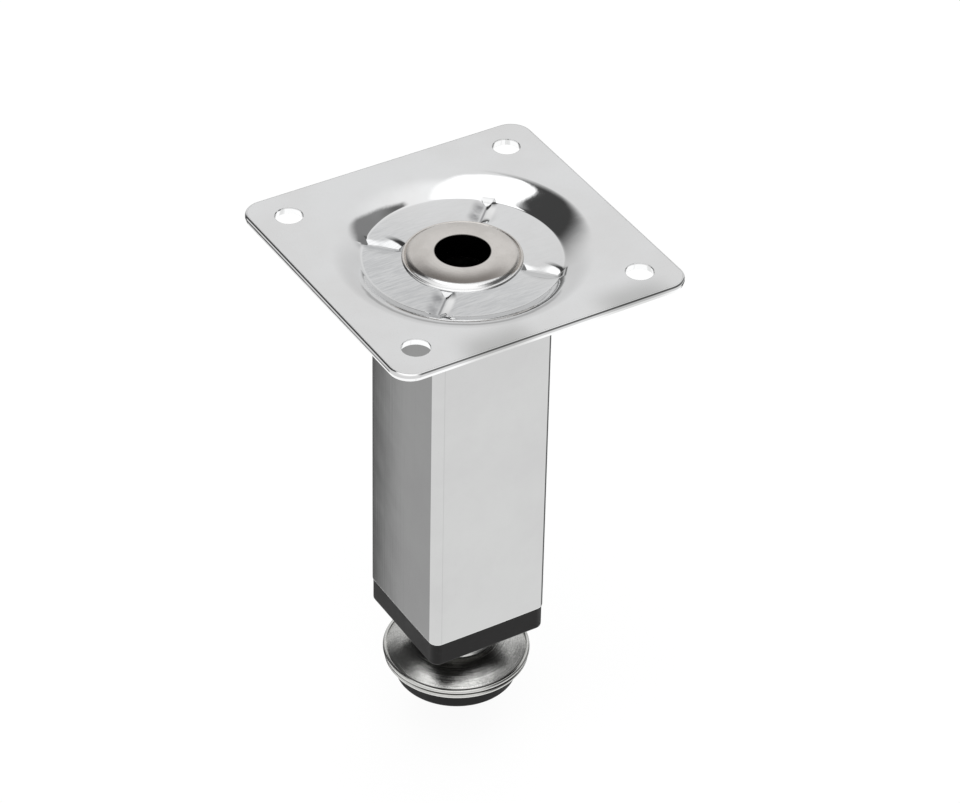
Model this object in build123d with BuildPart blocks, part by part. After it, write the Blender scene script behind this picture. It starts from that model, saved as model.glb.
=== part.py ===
"""A square furniture leg: a pressed mounting plate riveted to a square steel tube,
with a plastic end insert and a levelling foot that screws in and out.

Millimetres. The origin is the middle of the leg on the floor, and +Z is up.
"""

from build123d import *
from math import acos, cos, degrees, radians, sin, sqrt, tan
import os

# Overall height, from the floor to the top face of the plate
leg_height = 101.0

# Mounting plate, pressed from one sheet
plate_side = 60.0
plate_sheet = 1.5
plate_corner_radius = 4.2
plate_edge_round = 0.3
screw_spacing = 46.0
screw_hole_radius = 2.6

# Round recess in the plate
recess_mouth_radius = 24.9
recess_floor_radius = 18.3
recess_depth = 2.9
recess_wall_angle = 30.0
recess_heel_round = 0.6

# Four V-shaped stiffening grooves pressed into the recess floor, one over each tube corner
groove_count = 4
groove_start_angle = 45.0
groove_floor_margin = 0.2
groove_under_head = 0.3
groove_width = 5.4
groove_depth = 0.8

# Hollow rivet
rivet_bore_radius = 5.05
rivet_wall = 0.85
rivet_hole_clearance = 0.1
rivet_head_radius = 11.2
rivet_head_rise = 1.3
rivet_head_edge = 0.12
rivet_shoulder_radius = 8.2
rivet_shoulder_drop = 0.15
rivet_lip_round = 0.3
rivet_clinch_clearance = 0.7
rivet_clinch_thickness = 0.9
rivet_clinch_round = 0.7

# Square tube
tube_side = 25.0
tube_wall = 1.2
tube_corner_radius = 1.8
tube_edge_round = 0.2
notch_clearance = 0.2

# Pressed cup inside the top of the tube
cup_sheet = 1.5
cup_crown_inset = 0.5
cup_groove_clearance = 0.3
cup_skirt = 9.0
cup_corner_radius = 2.6

# Plastic insert at the bottom of the tube
insert_inset = 0.2
insert_flange = 5.1
insert_edge_round = 0.5
insert_core_wall = 2.2
insert_core_corner = 2.5
insert_core_height = 19.0
insert_fin_count = 4
insert_fin_thickness = 1.4
insert_fin_corner = 1.6

# Standard M8 nut and stud
thread_radius = 4.0
thread_clearance = 0.05
nut_across_flats = 13.0
nut_height = 6.5
nut_recess = 0.3
nut_corner_trim = 0.25
stud_length = 29.5
stud_tip_chamfer = 0.8
stud_head_clearance = 0.1
stud_head_height = 3.1
stud_socket_radius = 2.5
stud_socket_depth = 4.0

# The stud passes through the insert with this gap all round
stud_passage_gap = 0.35

# Round foot, pressed from one sheet
foot_sheet = 1.2
foot_gap = 3.0
foot_boss_rise = 2.68
foot_boss_top_radius = 6.2
foot_boss_base_radius = 7.2
foot_boss_round = 0.6
foot_boss_heel_round = 0.8
foot_dome_radius = 17.9
foot_dome_centre_radius = 3.5
foot_rim_radius = 14.3
foot_rim_width = 1.5
foot_bead_radius = 0.42
foot_bead_lift = 1.75
foot_bead_start_angle = 150.0
foot_bead_end_angle = -60.0
foot_notch_inset = 0.65
foot_notch_lift = 1.1
foot_lip_inset = 0.25
foot_lip_bead_radius = 0.45
foot_lip_start_angle = 60.0
foot_lip_bottom = 4.0
foot_stud_hole_clearance = 0.1

# Plastic pad under the foot
pad_mouth_gap = 0.85
pad_edge_cover = 0.4
pad_edge_round = 0.5
pad_pillar_inset = 0.5
pad_spigot_clearance = 0.4
pad_spigot_gap = 0.5

# Widths that follow from the sizes above
groove_inner_radius = rivet_head_radius - groove_under_head
groove_outer_radius = recess_floor_radius - groove_floor_margin
rivet_barrel_radius = rivet_bore_radius + rivet_wall
rivet_hole_radius = rivet_barrel_radius + rivet_hole_clearance
tube_bore_side = tube_side - 2 * tube_wall
tube_bore_corner = tube_corner_radius - tube_wall
cup_crown_radius = groove_inner_radius - cup_crown_inset
rivet_clinch_radius = cup_crown_radius - cup_sheet - rivet_clinch_clearance
insert_side = tube_side - 2 * insert_inset
insert_core_side = nut_across_flats + 2 * insert_core_wall
foot_mouth_radius = foot_rim_radius - foot_rim_width
pad_radius = foot_mouth_radius - pad_mouth_gap
stud_head_radius = foot_boss_top_radius - foot_sheet - stud_head_clearance
pad_pillar_radius = stud_head_radius - pad_pillar_inset

# The foot's dome is an arc that ends in the crease beside the rolled bead at the rim
bead_centre = (foot_rim_radius - foot_bead_radius, foot_lip_bottom + foot_bead_lift)
lip_centre = (
    foot_rim_radius - foot_lip_inset - foot_lip_bead_radius,
    foot_lip_bottom + foot_lip_bead_radius,
)
crease_radius = bead_centre[0] + foot_bead_radius * cos(radians(foot_bead_start_angle))
crease_height = bead_centre[1] + foot_bead_radius * sin(radians(foot_bead_start_angle))


def dome_rise(radius, arc_radius):
    """Height of an arc about the dome's centre, above that centre."""
    return sqrt(arc_radius**2 - (radius - foot_dome_centre_radius) ** 2)


def dome_angle(radius, arc_radius):
    """Angle at which an arc about the dome's centre reaches this distance from the axis."""
    return degrees(acos((radius - foot_dome_centre_radius) / arc_radius))


dome_centre_height = crease_height - dome_rise(crease_radius, foot_dome_radius)
dome_centre = (foot_dome_centre_radius, dome_centre_height)

# Heights that follow from the sizes above
foot_boss_height = (
    dome_centre_height + dome_rise(foot_boss_base_radius, foot_dome_radius) + foot_boss_rise
)
foot_boss_underside = foot_boss_height - foot_sheet
stud_head_bottom = foot_boss_underside - stud_head_height
pad_height = foot_lip_bottom + pad_edge_cover
insert_bottom = foot_boss_height + foot_gap
tube_bottom = insert_bottom + insert_flange
plate_top = leg_height
plate_underside = plate_top - plate_sheet
floor_top = plate_top - recess_depth
floor_underside = floor_top - plate_sheet
tube_top = floor_underside
cup_crown_rise = groove_depth + cup_groove_clearance
cup_shoulder_top = tube_top - cup_crown_rise
clinch_top = tube_top - cup_sheet

# The recess wall is a cone that bends into the plate's top face at the mouth of the recess
wall_lean = radians(recess_wall_angle)
wall_run = recess_mouth_radius - recess_floor_radius
bend_radius = (wall_run * sin(wall_lean) - recess_depth * cos(wall_lean)) / (1 - cos(wall_lean))
bend_centre = (recess_mouth_radius, plate_top - bend_radius)
heel_under_radius = recess_floor_radius + plate_sheet * tan(wall_lean / 2)

# A groove is the track of a V-edged wheel of this radius
groove_length = groove_outer_radius - groove_inner_radius
groove_middle = (groove_outer_radius + groove_inner_radius) / 2
wheel_radius = ((groove_length / 2) ** 2 + groove_depth**2) / (2 * groove_depth)


def groove_form(lowered, grown):
    """The part of the V-edged wheel that lies below the top face of the recess floor."""
    axle_height = floor_top + wheel_radius - groove_depth - lowered
    edge_radius = wheel_radius + grown
    half_width = edge_radius * groove_width / (2 * groove_depth)
    with BuildPart() as wheel:
        with BuildSketch(Plane.XY.offset(axle_height)):
            with BuildLine():
                Polyline(
                    (groove_middle, -half_width),
                    (groove_middle + edge_radius, 0),
                    (groove_middle, half_width),
                    close=True,
                )
            make_face()
        revolve(axis=Axis((groove_middle, 0, axle_height), (0, 1, 0)))
        split(bisect_by=Plane.XY.offset(floor_top), keep=Keep.BOTTOM)
    return wheel.part


# Mounting plate
with BuildPart() as mounting_plate:
    with BuildSketch(Plane.XY.offset(plate_underside)):
        RectangleRounded(plate_side, plate_side, plate_corner_radius)
    extrude(amount=plate_sheet)
    fillet(mounting_plate.faces().sort_by(Axis.Z)[-1].edges(), plate_edge_round)
    fillet(mounting_plate.faces().sort_by(Axis.Z)[0].edges(), plate_edge_round)
    with BuildSketch(Plane.XY.offset(plate_underside)):
        Circle(recess_mouth_radius)
        with GridLocations(screw_spacing, screw_spacing, 2, 2):
            Circle(screw_hole_radius)
    extrude(amount=plate_sheet, mode=Mode.SUBTRACT)
    with BuildSketch(Plane.XZ) as pressing_section:
        with BuildLine():
            wall_top = CenterArc(bend_centre, bend_radius, 90, recess_wall_angle)
            wall_under = CenterArc(bend_centre, bend_radius - plate_sheet, 90, recess_wall_angle)
            Line(wall_top @ 0, wall_under @ 0)
            Polyline(
                wall_top @ 1,
                (recess_floor_radius, floor_top),
                (rivet_hole_radius, floor_top),
                (rivet_hole_radius, floor_underside),
                (heel_under_radius, floor_underside),
                wall_under @ 1,
            )
        make_face()
        heel_under = pressing_section.vertices().group_by(Axis.Y)[0].sort_by(Axis.X)[-1]
        fillet(heel_under, recess_heel_round + plate_sheet)
        heel_top = pressing_section.vertices().sort_by_distance((recess_floor_radius, floor_top))[0]
        fillet(heel_top, recess_heel_round)
    revolve(axis=Axis.Z)
    with PolarLocations(0, groove_count, start_angle=groove_start_angle):
        add(groove_form(plate_sheet, 0))
    with PolarLocations(0, groove_count, start_angle=groove_start_angle):
        add(groove_form(0, 0), mode=Mode.SUBTRACT)
mounting_plate.part.label = "mounting_plate"

# Hollow rivet: a domed head on the recess floor, a barrel and a clinched flange inside the cup
with BuildPart() as hollow_rivet:
    head_top = floor_top + rivet_head_rise
    clinch_bottom = clinch_top - rivet_clinch_thickness
    with BuildSketch(Plane.XZ):
        with BuildLine():
            bore = Line(
                (rivet_bore_radius, clinch_bottom + rivet_clinch_round),
                (rivet_bore_radius, head_top - rivet_lip_round),
            )
            lip = RadiusArc(
                bore @ 1, (rivet_bore_radius + rivet_lip_round, head_top), rivet_lip_round
            )
            shoulder = Line(
                lip @ 1, (rivet_shoulder_radius, head_top - rivet_shoulder_drop)
            )
            edge = TangentArc(
                shoulder @ 1,
                (rivet_head_radius, floor_top + rivet_head_edge),
                tangent=shoulder % 1,
            )
            Polyline(
                edge @ 1,
                (rivet_head_radius, floor_top),
                (rivet_barrel_radius, floor_top),
                (rivet_barrel_radius, clinch_top),
                (rivet_clinch_radius, clinch_top),
                (rivet_clinch_radius, clinch_bottom),
                (rivet_bore_radius + rivet_clinch_round, clinch_bottom),
            )
            RadiusArc(
                (rivet_bore_radius + rivet_clinch_round, clinch_bottom),
                bore @ 0,
                rivet_clinch_round,
            )
        make_face()
    revolve(axis=Axis.Z)
hollow_rivet.part.label = "hollow_rivet"

# Pressed cup welded inside the top of the tube, with a raised crown under the plate
with BuildPart() as head_cup:
    cup_bottom = cup_shoulder_top - cup_sheet - cup_skirt
    with BuildSketch(Plane.XY.offset(cup_bottom)):
        RectangleRounded(tube_bore_side, tube_bore_side, cup_corner_radius)
    extrude(amount=cup_shoulder_top - cup_bottom)
    with BuildSketch(Plane.XY.offset(cup_shoulder_top)):
        Circle(cup_crown_radius)
    extrude(amount=cup_crown_rise)
    with BuildSketch(Plane.XY.offset(cup_bottom)):
        cup_inner_side = tube_bore_side - 2 * cup_sheet
        RectangleRounded(cup_inner_side, cup_inner_side, cup_corner_radius - cup_sheet)
    extrude(amount=cup_skirt, mode=Mode.SUBTRACT)
    with BuildSketch(Plane.XY.offset(cup_bottom)):
        Circle(cup_crown_radius - cup_sheet)
    extrude(amount=clinch_top - cup_bottom, mode=Mode.SUBTRACT)
    with BuildSketch(Plane.XY.offset(cup_bottom)):
        Circle(rivet_hole_radius)
    extrude(amount=tube_top - cup_bottom, mode=Mode.SUBTRACT)
head_cup.part.label = "head_cup"

# Square tube, notched at its upper corners where the plate's grooves come through
with BuildPart() as leg_tube:
    with BuildSketch(Plane.XY.offset(tube_bottom)):
        RectangleRounded(tube_side, tube_side, tube_corner_radius)
    extrude(amount=tube_top - tube_bottom)
    fillet(leg_tube.faces().sort_by(Axis.Z)[0].edges(), tube_edge_round)
    with BuildSketch(Plane.XY.offset(tube_bottom)):
        RectangleRounded(tube_bore_side, tube_bore_side, tube_bore_corner)
    extrude(amount=tube_top - tube_bottom, mode=Mode.SUBTRACT)
    with PolarLocations(0, groove_count, start_angle=groove_start_angle):
        add(groove_form(plate_sheet, notch_clearance), mode=Mode.SUBTRACT)
leg_tube.part.label = "leg_tube"

# Plastic insert: a flange under the tube, and a finned core inside it with a nut pocket
with BuildPart() as end_insert:
    with BuildSketch(Plane.XY.offset(insert_bottom)):
        RectangleRounded(insert_side, insert_side, tube_corner_radius)
    extrude(amount=insert_flange)
    fillet(end_insert.faces().sort_by(Axis.Z)[0].edges(), insert_edge_round)
    with BuildSketch(Plane.XY.offset(tube_bottom)):
        RectangleRounded(insert_core_side, insert_core_side, insert_core_corner)
    extrude(amount=insert_core_height)
    fin_pitch = insert_core_height / insert_fin_count
    for fin in range(insert_fin_count):
        fin_top = tube_bottom + (fin + 1) * fin_pitch
        with BuildSketch(Plane.XY.offset(fin_top - insert_fin_thickness)):
            RectangleRounded(tube_bore_side, tube_bore_side, insert_fin_corner)
        extrude(amount=insert_fin_thickness)
    with BuildSketch(Plane.XY.offset(insert_bottom)):
        Circle(thread_radius + stud_passage_gap)
    extrude(amount=insert_flange + insert_core_height, mode=Mode.SUBTRACT)
    with BuildSketch(Plane.XY.offset(insert_bottom)):
        RegularPolygon(nut_across_flats / 2, 6, major_radius=False)
    extrude(amount=nut_recess + nut_height, mode=Mode.SUBTRACT)
end_insert.part.label = "end_insert"

# Nut pressed into the insert's pocket, its corners chamfered
with BuildPart() as captive_nut:
    nut_bottom = insert_bottom + nut_recess
    nut_corner_radius = nut_across_flats / (2 * cos(radians(30)))
    with BuildSketch(Plane.XY.offset(nut_bottom)):
        RegularPolygon(nut_across_flats / 2, 6, major_radius=False)
    extrude(amount=nut_height)
    with BuildSketch(Plane.XY.offset(nut_bottom)):
        Circle(nut_corner_radius - nut_corner_trim)
    extrude(amount=nut_height, mode=Mode.INTERSECT)
    with BuildSketch(Plane.XY.offset(nut_bottom)):
        Circle(thread_radius + thread_clearance)
    extrude(amount=nut_height, mode=Mode.SUBTRACT)
captive_nut.part.label = "captive_nut"

# Levelling stud: a round head inside the foot's boss, and a plain shank at the thread's size
with BuildPart() as foot_stud:
    with BuildSketch(Plane.XY.offset(stud_head_bottom)):
        Circle(stud_head_radius)
    extrude(amount=stud_head_height)
    with BuildSketch(Plane.XY.offset(stud_head_bottom)):
        Circle(thread_radius)
    extrude(amount=stud_length)
    chamfer(foot_stud.faces().sort_by(Axis.Z)[-1].edges(), stud_tip_chamfer)
    with BuildSketch(Plane.XY.offset(stud_head_bottom)):
        Circle(stud_socket_radius)
    extrude(amount=stud_socket_depth, mode=Mode.SUBTRACT)
foot_stud.part.label = "foot_stud"

# Round foot: a boss, a domed skirt, a rolled bead at the rim and a turned-down lip
with BuildPart() as foot_disc:
    under_arc_radius = foot_dome_radius - foot_sheet
    with BuildSketch(Plane.XZ) as foot_section:
        with BuildLine():
            dome_start = dome_angle(foot_boss_base_radius, foot_dome_radius)
            dome_end = dome_angle(crease_radius, foot_dome_radius)
            dome = CenterArc(dome_centre, foot_dome_radius, dome_start, dome_end - dome_start)
            bead_sweep = foot_bead_end_angle - foot_bead_start_angle
            bead = CenterArc(bead_centre, foot_bead_radius, foot_bead_start_angle, bead_sweep)
            lip_sweep = -90 - foot_lip_start_angle
            lip = CenterArc(lip_centre, foot_lip_bead_radius, foot_lip_start_angle, lip_sweep)
            notch = (foot_rim_radius - foot_notch_inset, foot_lip_bottom + foot_notch_lift)
            Polyline(bead @ 1, notch, lip @ 0)
            inner_base_radius = foot_boss_base_radius - foot_sheet
            under_start = dome_angle(foot_mouth_radius, under_arc_radius)
            under_end = dome_angle(inner_base_radius, under_arc_radius)
            under = CenterArc(
                dome_centre, under_arc_radius, under_start, under_end - under_start
            )
            Polyline(lip @ 1, (foot_mouth_radius, foot_lip_bottom), under @ 0)
            Polyline(
                under @ 1,
                (foot_boss_top_radius - foot_sheet, foot_boss_underside),
                (thread_radius + foot_stud_hole_clearance, foot_boss_underside),
                (thread_radius + foot_stud_hole_clearance, foot_boss_height),
                (foot_boss_top_radius, foot_boss_height),
                dome @ 0,
            )
        make_face()
        boss_heel = foot_section.vertices().sort_by_distance(dome @ 0)[0]
        fillet(boss_heel, foot_boss_heel_round)
        boss_edge = foot_section.vertices().group_by(Axis.Y)[-1].sort_by(Axis.X)[-1]
        fillet(boss_edge, foot_boss_round)
    revolve(axis=Axis.Z)
foot_disc.part.label = "foot_disc"

# Plastic pad: a thick disc, a pillar under the stud's head and a spigot in the stud's socket
with BuildPart() as foot_pad:
    with BuildSketch():
        Circle(pad_radius)
    extrude(amount=pad_height)
    fillet(foot_pad.faces().sort_by(Axis.Z)[0].edges(), pad_edge_round)
    with BuildSketch():
        Circle(pad_pillar_radius)
    extrude(amount=stud_head_bottom)
    with BuildSketch():
        Circle(stud_socket_radius - pad_spigot_clearance)
    extrude(amount=stud_head_bottom + stud_socket_depth - pad_spigot_gap)
foot_pad.part.label = "foot_pad"

pieces = [
    mounting_plate,
    hollow_rivet,
    head_cup,
    leg_tube,
    end_insert,
    captive_nut,
    foot_stud,
    foot_disc,
    foot_pad,
]
os.makedirs("parts", exist_ok=True)
for piece in pieces:
    export_step(piece.part, f"parts/{piece.part.label}.step")
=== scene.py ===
"""The look of a square chromed furniture leg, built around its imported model.

Shapes are worked out in millimetres and turned into metres as each piece is made.
Angles are in degrees. The pad's underside is at the origin, and +Z is up.
"""

from math import acos, cos, degrees, pi, radians, sin, sqrt

import bpy
import numpy as np
from mathutils import Matrix, Vector
from mathutils.geometry import delaunay_2d_cdt


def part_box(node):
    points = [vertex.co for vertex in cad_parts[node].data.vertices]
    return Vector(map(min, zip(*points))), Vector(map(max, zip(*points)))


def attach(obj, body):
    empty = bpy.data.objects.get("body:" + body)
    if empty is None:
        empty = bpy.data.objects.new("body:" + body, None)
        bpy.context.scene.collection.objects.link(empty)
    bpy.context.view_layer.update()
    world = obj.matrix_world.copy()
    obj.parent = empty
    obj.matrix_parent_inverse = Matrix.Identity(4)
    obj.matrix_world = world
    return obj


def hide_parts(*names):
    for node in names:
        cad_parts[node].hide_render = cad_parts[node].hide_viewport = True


MM = 0.001
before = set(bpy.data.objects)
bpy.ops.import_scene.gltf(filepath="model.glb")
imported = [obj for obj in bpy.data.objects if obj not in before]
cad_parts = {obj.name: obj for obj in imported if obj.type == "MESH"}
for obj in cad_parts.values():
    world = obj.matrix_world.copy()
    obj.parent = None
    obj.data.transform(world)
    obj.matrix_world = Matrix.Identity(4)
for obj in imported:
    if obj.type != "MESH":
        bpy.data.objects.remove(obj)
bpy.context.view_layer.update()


def node_box(node):
    """Lowest and highest corner of a node, in millimetres."""
    low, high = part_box(node)
    return np.array(low) / MM, np.array(high) / MM


plate_low, plate_high = node_box("mounting_plate")
rivet_low, _ = node_box("hollow_rivet")
tube_low, tube_high = node_box("leg_tube")
stud_low, stud_high = node_box("foot_stud")
disc_low, disc_high = node_box("foot_disc")
_, pad_high = node_box("foot_pad")

# Photograph: the camera fitted to it, and the width of its picture in pixels
photo_width = 960
view_azimuth = -31.4923
view_elevation = 37.4234
view_roll = 1.1718
view_distance = 687.39
view_focal_pixels = 3827.28
view_shift_right = -3.09
view_shift_up = 28.40
sensor_width = 36.0
camera_clip_start = 0.05
camera_clip_end = 50.0

# Floor: it lies below the foot's lowest place, so that it hides no pose
floor_depth = 11.6
floor_half_side = 3000.0

# Mounting plate
plate_side = plate_high[0] - plate_low[0]
plate_top = plate_high[2]
plate_sheet = 1.5
plate_corner_radius = 4.2
plate_edge_round = 0.45
plate_shear_height = 0.7
plate_shear_inset = 0.23
screw_spacing = 46.0
screw_hole_radius = 2.6
screw_hole_round = 0.08
screw_hole_land = 0.25
screw_hole_taper = 0.3
recess_mouth_radius = 24.3
recess_mouth_spread = 1.6
recess_wide_side = -121.5
recess_floor_radius = 18.3
recess_depth = 2.9
recess_wall_power = 1.5
recess_heel_softness = 0.12
recess_grid_radius = 26.4
rivet_hole_radius = 6.0
groove_count = 4
groove_start_angle = 45.0
groove_middle = 14.8
groove_half_length = 3.9
groove_half_width = 2.6
groove_narrowing = 0.6
groove_depth = 0.88
groove_end_loss = 0.15
groove_end_slope = 0.8
groove_valley_round = 0.15
groove_shoulder_round = 0.18
groove_fan = 16

# Rings of points on the recess: where their spacing changes, the spacings and the counts
ring_stops = (10.5, 17.8, 19.2, 23.8)
ring_steps = (0.5, 0.13)
ring_counts = (18, 24, 32)
underside_ring_step = 6
groove_angle_step = 0.4
plain_angle_step = 1.0
hole_points = 72
flat_grid_spacing = 1.5
flat_grid_margin = 0.4

# Hollow rivet
rivet_bore_radius = 5.05
rivet_wall = 0.85
rivet_head_rise = 1.3
rivet_dome_radius = 9.5
rivet_dome_drop = 0.45
rivet_edge_radius = 10.4
rivet_edge_height = 0.14
rivet_edge_slope = 12.0
rivet_ring_middle = 10.73
rivet_ring_radius = 0.32
rivet_ring_start_angle = 155.0
rivet_lip_round = 0.3
rivet_clinch_round = 0.7
rivet_clinch_height = 0.9
rivet_clinch_radius = 8.2
rivet_lip_slope = 0.3

# Square tube
tube_side = tube_high[0] - tube_low[0]
tube_wall = 1.2
tube_corner_radius = 1.8
tube_edge_round = 0.2
tube_bulge = 0.008
tube_notch_clearance = 0.2
tube_notch_least = 0.05
tube_notch_reach = 1.0

# Stud
thread_radius = 4.0
thread_pitch = 1.25
thread_depth = 0.72
thread_row_step = 0.09
thread_start = 0.25
thread_first_row = 0.3
thread_runout = 1.0
thread_flank = 1.25
thread_crest = 0.12
stud_tip_chamfer = 0.8
stud_head_height = 3.1
stud_head_radius = 4.9
stud_socket_radius = 2.5
stud_socket_depth = 4.0

# Foot disc
foot_sheet = 1.2
foot_boss_top_radius = 6.2
foot_boss_base_radius = 7.2
foot_dome_radius = 17.9
foot_dome_centre_radius = 3.5
foot_rim_radius = disc_high[0]
foot_rim_width = 1.5
foot_bead_radius = 0.42
foot_bead_lift = 1.75
foot_bead_start_angle = 150.0
foot_bead_end_angle = -60.0
foot_notch_inset = 0.65
foot_notch_height = 1.1
foot_lip_inset = 0.25
foot_lip_bead_radius = 0.45
foot_lip_start_angle = 60.0
foot_hole_radius = 4.1
foot_heel_reach = 0.42
foot_edge_reach = 0.9
foot_heel_clearance = 0.9
# The side of the foot on which its rim gets a painted highlight and painted shade
foot_painted_side = -101.5

# Pad
pad_radius = pad_high[0]
pad_height = 4.4
pad_pillar_radius = 4.4
pad_spigot_radius = 2.1
pad_edge_reach = 0.5

# Rounding of corners: its reach, the most of a side that it takes, the turn that counts as
# sharp, how near a named corner is, and the strip beside each corner that stays straight
small_reach = 0.05
most_of_side = 0.45
sharp_turn = radians(20)
same_corner = 0.02
edge_guard = 0.02
tiny = 1e-6
weld_distance = 0.001
slope_sample = 0.002


def arc(centre, radius, start, end, step=5.0):
    """Points along an arc, its angles in degrees."""
    count = max(3, int(abs(end - start) / step) + 2)
    angles = np.radians(np.linspace(start, end, count))
    return [(centre[0] + radius * cos(a), centre[1] + radius * sin(a)) for a in angles]


def swung(start, end, slope, step):
    """Points along an arc over two points, which leaves the first at this slope in degrees."""
    span = np.subtract(end, start)
    turn = 2 * (degrees(np.arctan2(-span[1], span[0])) - slope)
    radius = np.linalg.norm(span) / (2 * sin(radians(turn / 2)))
    centre = (start[0] - radius * sin(radians(slope)), start[1] - radius * cos(radians(slope)))
    return arc(centre, radius, 90 - slope, 90 - slope - turn, step)


def turn_at(path, i):
    """How sharply a path turns at one of its points."""
    before = path[i] - path[i - 1]
    after = path[(i + 1) % len(path)] - path[i]
    cosine = before @ after / (np.linalg.norm(before) * np.linalg.norm(after))
    return acos(max(-1.0, min(1.0, cosine)))


def rounded(points, closed=True, reaches=()):
    """A path with its sharp corners rounded, and each long side kept straight to its ends.

    reaches holds pairs of a point and how far that corner's rounding runs along the sides.
    """
    path = np.array([p[:2] for p in points], float)
    keep = [0] + [i for i in range(1, len(path)) if np.linalg.norm(path[i] - path[i - 1]) > tiny]
    path = path[keep]
    if closed and np.linalg.norm(path[0] - path[-1]) < tiny:
        path = path[:-1]
    count = len(path)
    sides = np.linalg.norm(np.roll(path, -1, axis=0) - path, axis=1)
    made = []
    for i in range(count):
        inside = closed or 0 < i < count - 1
        if not inside or turn_at(path, i) < sharp_turn:
            made.append(path[i])
            continue
        asked = [r for p, r in reaches if np.linalg.norm(path[i] - np.array(p)) < same_corner]
        reach = asked[0] if asked else small_reach
        reach = min(reach, most_of_side * sides[i - 1], most_of_side * sides[i])
        before = path[i] + (path[i - 1] - path[i]) * reach / sides[i - 1]
        after = path[i] + (path[(i + 1) % count] - path[i]) * reach / sides[i]
        for t in np.linspace(0, 1, 9 if asked else 5):
            made.append(before * (1 - t) ** 2 + path[i] * 2 * t * (1 - t) + after * t**2)
    path = np.array(made)
    held = []
    for i in range(len(path)):
        held.append(path[i])
        if not closed and i == len(path) - 1:
            break
        step = path[(i + 1) % len(path)] - path[i]
        length = np.linalg.norm(step)
        if length > 5 * edge_guard:
            held.append(path[i] + step * edge_guard / length)
            held.append(path[i] + step * (1 - edge_guard / length))
    return np.array(held)


def path_normals(path, closed=True):
    """Unit normals on the right-hand side of a path."""
    step = np.roll(path, -1, axis=0) - path
    if not closed:
        step[-1] = step[-2]
    step /= np.linalg.norm(step, axis=1, keepdims=True)
    before = np.roll(step, 1, axis=0)
    if not closed:
        before[0] = step[0]
    along = step + before
    along /= np.linalg.norm(along, axis=1, keepdims=True)
    return np.stack([along[:, 1], -along[:, 0]], axis=1)


class Shell:
    """Collects points, their normals and faces in millimetres, and makes one smooth piece."""

    def __init__(self):
        self.points = []
        self.normals = []
        self.faces = []
        self.count = 0

    def add(self, points, normals, faces):
        self.points.append(points)
        self.normals.append(normals)
        self.faces.extend([[self.count + i for i in face] for face in faces])
        self.count += len(points)

    def grid(self, points, normals):
        """Adds rows of points, where each row closes into a ring."""
        rows, columns = points.shape[:2]
        index = np.arange(rows * columns).reshape(rows, columns)
        right = np.roll(index, -1, axis=1)
        quads = np.stack([index[:-1], right[:-1], right[1:], index[1:]], axis=-1)
        self.add(points.reshape(-1, 3), normals.reshape(-1, 3), quads.reshape(-1, 4).tolist())

    def joined(self):
        """Points, normals and faces with coincident points made one, and faces turned outward."""
        points = np.concatenate(self.points)
        normals = np.concatenate(self.normals)
        cells = np.round(points / weld_distance).astype(np.int64)
        _, first, inverse = np.unique(cells, axis=0, return_index=True, return_inverse=True)
        inverse = inverse.reshape(-1)
        points = points[first]
        normals = normals[first]
        faces = []
        for face in self.faces:
            corners = list(dict.fromkeys(int(inverse[i]) for i in face))
            if len(corners) < 3:
                continue
            a, b, c = points[corners[0]], points[corners[1]], points[corners[-1]]
            outward = normals[corners].sum(axis=0)
            faces.append(corners if np.cross(b - a, c - a) @ outward >= 0 else corners[::-1])
        return points, normals, faces

    def piece(self, name, body, slot, material, *replaced, own_normals=True):
        points, normals, faces = self.joined()
        mesh = bpy.data.meshes.new(name)
        mesh.from_pydata(points * MM, [], faces)
        mesh.polygons.foreach_set("use_smooth", [True] * len(mesh.polygons))
        if own_normals:
            lengths = np.linalg.norm(normals, axis=1, keepdims=True)
            mesh.normals_split_custom_set_from_vertices((normals / lengths).tolist())
        mesh.materials.append(material)
        made = bpy.data.objects.new(name, mesh)
        bpy.context.scene.collection.objects.link(made)
        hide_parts(*replaced)
        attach(made, body)
        return made


def lathe(shell, path, closed=True, segments=256):
    """Turns a path of (radius, height), its right-hand side outward, about the leg's axis."""
    normals = path_normals(path, closed)
    if closed:
        path = np.vstack([path, path[:1]])
        normals = np.vstack([normals, normals[:1]])
    angles = np.linspace(0, 2 * pi, segments, endpoint=False)
    ring = np.stack([np.cos(angles), np.sin(angles), np.zeros(segments)], axis=1)
    up = np.array([0.0, 0.0, 1.0])
    points = path[:, 0, None, None] * ring + path[:, 1, None, None] * up
    facing = normals[:, 0, None, None] * ring + normals[:, 1, None, None] * up
    shell.grid(points, facing)


def square_loop(half, corner, side_points=12, corner_points=10):
    """Points and outward normals round a square with rounded corners, seen from above."""
    flat = half - corner
    guard = min(edge_guard, flat / 4)
    middle = np.linspace(-flat, flat, side_points)[1:-1]
    along = np.concatenate([[-flat, -flat + guard], middle, [flat - guard]])
    points = []
    normals = []
    for quarter in range(4):
        turn = quarter * pi / 2
        c, s = cos(turn), sin(turn)
        for t in along:
            points.append((half * c - t * s, half * s + t * c))
            normals.append((c, s))
        for a in np.linspace(0, pi / 2, corner_points)[:-1]:
            u, v = flat + corner * cos(a), flat + corner * sin(a)
            points.append((u * c - v * s, u * s + v * c))
            normals.append((cos(turn + a), sin(turn + a)))
    return np.array(points), np.array(normals)


def sweep_square(half, corner, section, closed=True):
    """A section of (inset, height) carried round a rounded square: points and normals."""
    facing = path_normals(section, closed)
    if closed:
        section = np.vstack([section, section[:1]])
        facing = np.vstack([facing, facing[:1]])
    rows = []
    row_normals = []
    for (inset, height), (inward, upward) in zip(section, facing):
        loop, outward = square_loop(half - inset, corner - inset)
        level = np.full(len(loop), height)
        rows.append(np.column_stack([loop, level]))
        row_normals.append(np.column_stack([-inward * outward, np.full(len(loop), upward)]))
    return np.array(rows), np.array(row_normals)


# Shape of the pressed plate

floor_top = plate_top - recess_depth


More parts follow.
